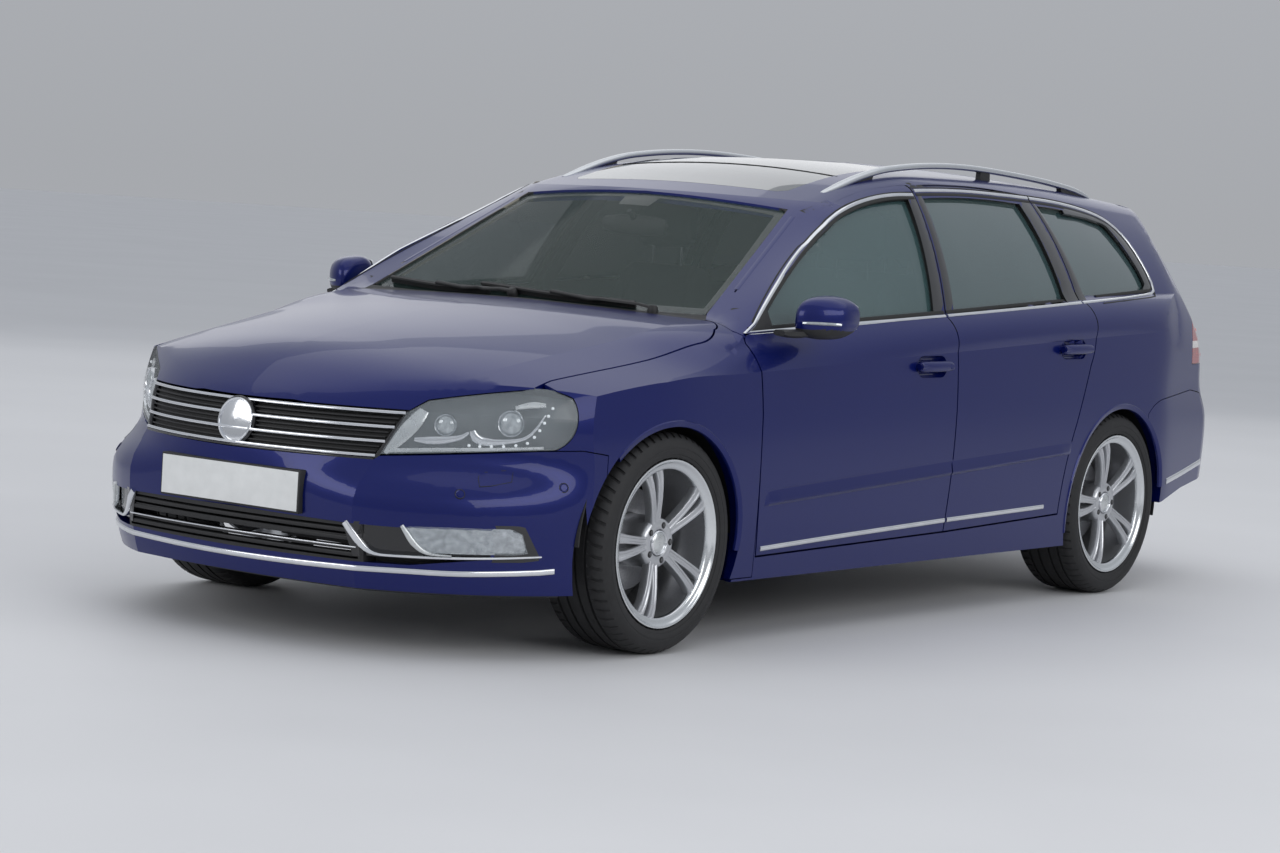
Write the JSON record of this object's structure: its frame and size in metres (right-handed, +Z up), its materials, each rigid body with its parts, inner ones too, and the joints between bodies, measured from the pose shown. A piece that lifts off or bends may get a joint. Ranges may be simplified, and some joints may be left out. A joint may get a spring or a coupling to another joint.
{
  "type": "station wagon",
  "caption": "Five-door station wagon with opening doors, bonnet and tailgate, roof rails, steering front wheels and a chrome-barred grille.",
  "frame": {"origin": "middle of the bounding box's bottom face, on the ground under the tyres", "axes": "+X to the car's front, +Y to its left side, +Z up"},
  "size_m": [4.771, 2.062, 1.4954],
  "materials": {
    "paint": "deep navy metallic paint under clear coat",
    "black_plastic": "grained black trim",
    "chrome": "bright plated trim",
    "clear_lamp": "clear lamp cover",
    "red_lamp": "red lamp cover",
    "clear_glass": "faint green glass",
    "dark_glass": "dark tinted glass",
    "silver_rail": "satin anodised",
    "rubber_tyre": "black rubber",
    "alloy": "silver painted alloy",
    "cast_metal": "as cast",
    "steel": "black coated steel",
    "tank_plastic": "moulded black",
    "dash_plastic": "soft dark trim",
    "seat_cloth": "dark woven cloth",
    "wheel_leather": "stitched black leather"
  },
  "bodies": {
    "body": {"cowl": "black_plastic", "dashboard": "dash_plastic", "engine": "cast_metal", "exhaust": "steel", "fenders": "paint", "fog_lamps": "clear_lamp", "front_apron": "black_plastic", "front_bumper": "paint", "front_seats": "seat_cloth", "front_subframe": "steel", "fuel_tank": "tank_plastic", "headlamps": "clear_lamp", "lower_grille": "black_plastic", "quarter_glass": "dark_glass", "radiator_grille": "chrome", "rear_axle": "steel", "rear_bumper": "paint", "rear_seat": "seat_cloth", "roof_glass": "dark_glass", "roof_panel": "paint", "roof_rails": "silver_rail", "side_frames": "paint", "struts": "steel", "tail_lamps": "red_lamp", "underbody": "steel", "wheel_liners": "black_plastic", "windscreen": "clear_glass"},
    "bonnet": {"bonnet": "paint"},
    "tailgate": {"tailgate": "paint", "tailgate_glass": "dark_glass", "tailgate_lamps": "red_lamp"},
    "steering_wheel": {"steering_wheel": "wheel_leather"},
    "front_door_left": {"front_door_left": "paint", "front_door_glass_left": "clear_glass", "door_mirror_left": "paint"},
    "rear_door_left": {"rear_door_left": "paint", "rear_door_glass_left": "dark_glass"},
    "knuckle_left": {"knuckle_left": "cast_metal"},
    "front_wheel_left": {"front_rim_left": "alloy", "front_tyre_left": "rubber_tyre"},
    "rear_wheel_left": {"rear_rim_left": "alloy", "rear_tyre_left": "rubber_tyre"},
    "front_door_right": {"front_door_right": "paint", "front_door_glass_right": "clear_glass", "door_mirror_right": "paint"},
    "rear_door_right": {"rear_door_right": "paint", "rear_door_glass_right": "dark_glass"},
    "knuckle_right": {"knuckle_right": "cast_metal"},
    "front_wheel_right": {"front_rim_right": "alloy", "front_tyre_right": "rubber_tyre"},
    "rear_wheel_right": {"rear_rim_right": "alloy", "rear_tyre_right": "rubber_tyre"}
  },
  "joints": [
    {"name": "front_door_left_hinge", "type": "hinge", "parent": "body", "child": "front_door_left", "pos_m": [1.09, 0.912, 0.62], "axis": [0, 0, -1], "range_deg": [0, 65]},
    {"name": "rear_door_left_hinge", "type": "hinge", "parent": "body", "child": "rear_door_left", "pos_m": [-0.034, 0.912, 0.62], "axis": [0, 0, -1], "range_deg": [0, 65]},
    {"name": "steer_left", "type": "hinge", "parent": "body", "child": "knuckle_left", "pos_m": [1.495, 0.72, 0.3225], "axis": [0, 0, 1], "range_deg": [-35, 35]},
    {"name": "front_wheel_left_spin", "type": "hinge", "parent": "knuckle_left", "child": "front_wheel_left", "pos_m": [1.495, 0.78, 0.3225], "axis": [0, 1, 0], "continuous": true},
    {"name": "rear_wheel_left_spin", "type": "hinge", "parent": "body", "child": "rear_wheel_left", "pos_m": [-1.216, 0.78, 0.3225], "axis": [0, 1, 0], "continuous": true},
    {"name": "front_door_right_hinge", "type": "hinge", "parent": "body", "child": "front_door_right", "pos_m": [1.09, -0.912, 0.62], "axis": [0, 0, 1], "range_deg": [0, 65]},
    {"name": "rear_door_right_hinge", "type": "hinge", "parent": "body", "child": "rear_door_right", "pos_m": [-0.034, -0.912, 0.62], "axis": [0, 0, 1], "range_deg": [0, 65]},
    {"name": "steer_right", "type": "hinge", "parent": "body", "child": "knuckle_right", "pos_m": [1.495, -0.72, 0.3225], "axis": [0, 0, 1], "range_deg": [-35, 35]},
    {"name": "front_wheel_right_spin", "type": "hinge", "parent": "knuckle_right", "child": "front_wheel_right", "pos_m": [1.495, -0.78, 0.3225], "axis": [0, 1, 0], "continuous": true},
    {"name": "rear_wheel_right_spin", "type": "hinge", "parent": "body", "child": "rear_wheel_right", "pos_m": [-1.216, -0.78, 0.3225], "axis": [0, 1, 0], "continuous": true},
    {"name": "bonnet_hinge", "type": "hinge", "parent": "body", "child": "bonnet", "pos_m": [1.096, 0, 0.978], "axis": [0, -1, 0], "range_deg": [0, 55]},
    {"name": "tailgate_hinge", "type": "hinge", "parent": "body", "child": "tailgate", "pos_m": [-1.779, 0, 1.43], "axis": [0, 1, 0], "range_deg": [0, 85]},
    {"name": "steering_column", "type": "hinge", "parent": "body", "child": "steering_wheel", "pos_m": [0.47, 0.37, 0.8], "axis": [-0.9136, 0, 0.4067], "range_deg": [-500, 500]}
  ],
  "couplings": [
    {"joint": "steer_right", "follows": "steer_left", "ratio": 1},
    {"joint": "steering_column", "follows": "steer_left", "ratio": 14}
  ]
}
